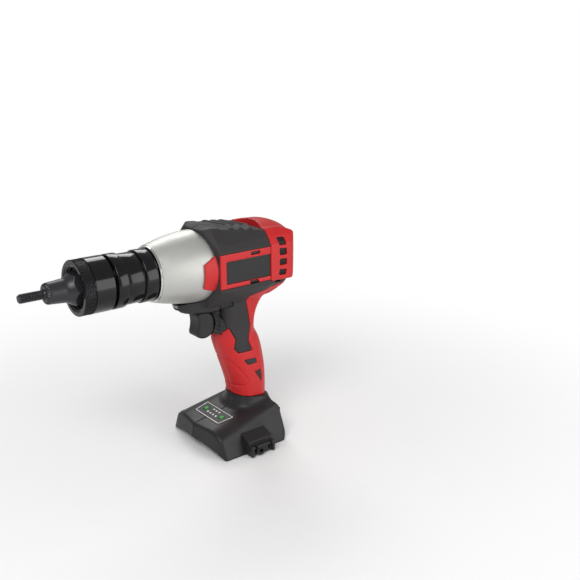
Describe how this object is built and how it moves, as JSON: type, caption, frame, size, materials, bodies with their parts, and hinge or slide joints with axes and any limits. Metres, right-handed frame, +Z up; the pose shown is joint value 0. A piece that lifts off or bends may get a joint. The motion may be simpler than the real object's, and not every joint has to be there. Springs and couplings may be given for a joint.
{
  "type": "battery rivet-nut tool",
  "caption": "Hand-held battery rivet-nut setter: motor, planetary gears and a ball nut draw a threaded mandrel back through an anvil in an adjustable stroke collar.",
  "frame": {"origin": "middle of the battery foot's underside, on the plane that the tool stands on", "axes": "+X along the pulling axis towards the mandrel's tip, +Y to the operator's left, +Z up"},
  "size_m": [0.2573, 0.1043, 0.219],
  "materials": {
    "red_shell": "satin",
    "rubber_skin": "matte",
    "foot_plastic": "matte",
    "trim_plastic": "satin",
    "gloss_trim": "gloss",
    "inner_plastic": "matte",
    "silver_alloy": "satin",
    "black_alloy": "gloss",
    "black_steel": "satin",
    "steel": "satin",
    "magnet": "matte",
    "carbon": "matte",
    "copper": "satin",
    "brass": "satin",
    "board": "satin",
    "lens": "gloss",
    "green_key": "satin",
    "lead": "matte"
  },
  "bodies": {
    "tool_body": {"housing_left": "red_shell", "housing_right": "red_shell", "overmould_left": "rubber_skin", "overmould_right": "rubber_skin", "rear_cover": "red_shell", "foot_left": "foot_plastic", "foot_right": "foot_plastic", "label_plates": "gloss_trim", "handle_inlays": "rubber_skin", "gear_case": "silver_alloy", "nose_barrel": "black_alloy", "motor_can": "steel", "field_magnets": "magnet", "brush_holder": "inner_plastic", "carbon_brushes": "carbon", "front_bearing": "steel", "rear_bearing": "steel", "gearbox_plate": "steel", "ring_gear": "steel", "spindle_bush": "brass", "thrust_balls": "steel", "thrust_washer": "steel", "key_pin": "steel", "switch_body": "inner_plastic", "trigger_bellows": "rubber_skin", "trigger_spring": "steel", "lamp_lens": "lens", "lamp_board": "board", "control_panel": "gloss_trim", "control_board": "board", "terminal_block": "inner_plastic", "terminal_blades": "brass", "motor_leads": "lead", "battery_leads": "lead", "hook_block": "foot_plastic", "hook_insert": "brass", "housing_screws": "steel", "cover_screws": "steel", "gearbox_screws": "steel"},
    "rotor": {"armature_shaft": "steel", "armature_core": "copper", "commutator": "copper", "cooling_fan": "inner_plastic", "sun_pinion": "steel"},
    "spindle": {"planet_carrier": "steel", "planet_pins": "steel", "ball_nut": "steel"},
    "planet_1": {"planet_gear_1": "steel"},
    "planet_2": {"planet_gear_2": "steel"},
    "planet_3": {"planet_gear_3": "steel"},
    "draw_bar": {"draw_screw": "steel", "draw_cap": "steel"},
    "mandrel_body": {"mandrel": "black_steel"},
    "collar_key": {"detent_ring": "steel"},
    "collar": {"stroke_collar": "black_alloy", "anvil": "black_steel"},
    "trigger_body": {"trigger": "trim_plastic"},
    "selector": {"direction_selector": "trim_plastic"},
    "light_button": {"light_key": "green_key"},
    "mode_button": {"mode_key": "green_key"}
  },
  "joints": [
    {"name": "rotor_spin", "type": "hinge", "parent": "tool_body", "child": "rotor", "pos_m": [0, 0, 0.182], "axis": [1, 0, 0], "range_deg": [0, 3150]},
    {"name": "spindle_spin", "type": "hinge", "parent": "tool_body", "child": "spindle", "pos_m": [0, 0, 0.182], "axis": [1, 0, 0], "range_deg": [0, 630]},
    {"name": "planet_1_spin", "type": "hinge", "parent": "spindle", "child": "planet_1", "pos_m": [0, 0, 0.1685], "axis": [1, 0, 0], "range_deg": [-1680, 0]},
    {"name": "planet_2_spin", "type": "hinge", "parent": "spindle", "child": "planet_2", "pos_m": [0, 0.01169, 0.18875], "axis": [1, 0, 0], "range_deg": [-1680, 0]},
    {"name": "planet_3_spin", "type": "hinge", "parent": "spindle", "child": "planet_3", "pos_m": [0, -0.01169, 0.18875], "axis": [1, 0, 0], "range_deg": [-1680, 0]},
    {"name": "draw_slide", "type": "slide", "parent": "tool_body", "child": "draw_bar", "axis": [-1, 0, 0], "range_m": [0, 0.007]},
    {"name": "mandrel_turn", "type": "hinge", "parent": "draw_bar", "child": "mandrel_body", "pos_m": [0, 0, 0.182], "axis": [1, 0, 0], "continuous": true},
    {"name": "collar_turn", "type": "hinge", "parent": "collar_key", "child": "collar", "pos_m": [0, 0, 0.182], "axis": [1, 0, 0], "range_deg": [-360, 720]},
    {"name": "collar_slide", "type": "slide", "parent": "tool_body", "child": "collar_key", "axis": [1, 0, 0], "range_m": [-0.0015, 0.003]},
    {"name": "trigger_slide", "type": "slide", "parent": "tool_body", "child": "trigger_body", "axis": [-1, 0, 0], "range_m": [0, 0.006], "stiffness_N_per_m": 900, "springref_m": -0.006, "deforming": ["trigger_bellows", "trigger_spring"]},
    {"name": "selector_slide", "type": "slide", "parent": "tool_body", "child": "selector", "axis": [0, 1, 0], "range_m": [0, 0.005]},
    {"name": "light_key_press", "type": "slide", "parent": "tool_body", "child": "light_button", "axis": [-0.1736, 0, -0.9848], "range_m": [0, 0.0005], "stiffness_N_per_m": 2000, "springref_m": -0.0005},
    {"name": "mode_key_press", "type": "slide", "parent": "tool_body", "child": "mode_button", "axis": [-0.1736, 0, -0.9848], "range_m": [0, 0.0005], "stiffness_N_per_m": 2000, "springref_m": -0.0005}
  ],
  "couplings": [
    {"joint": "spindle_spin", "follows": "rotor_spin", "ratio": 0.2},
    {"joint": "planet_1_spin", "follows": "rotor_spin", "ratio": -0.53333},
    {"joint": "planet_2_spin", "follows": "rotor_spin", "ratio": -0.53333},
    {"joint": "planet_3_spin", "follows": "rotor_spin", "ratio": -0.53333},
    {"joint": "draw_slide", "follows": "rotor_spin", "m_per_rad": 0.00012732},
    {"joint": "collar_slide", "follows": "collar_turn", "m_per_rad": 0.00023873}
  ]
}
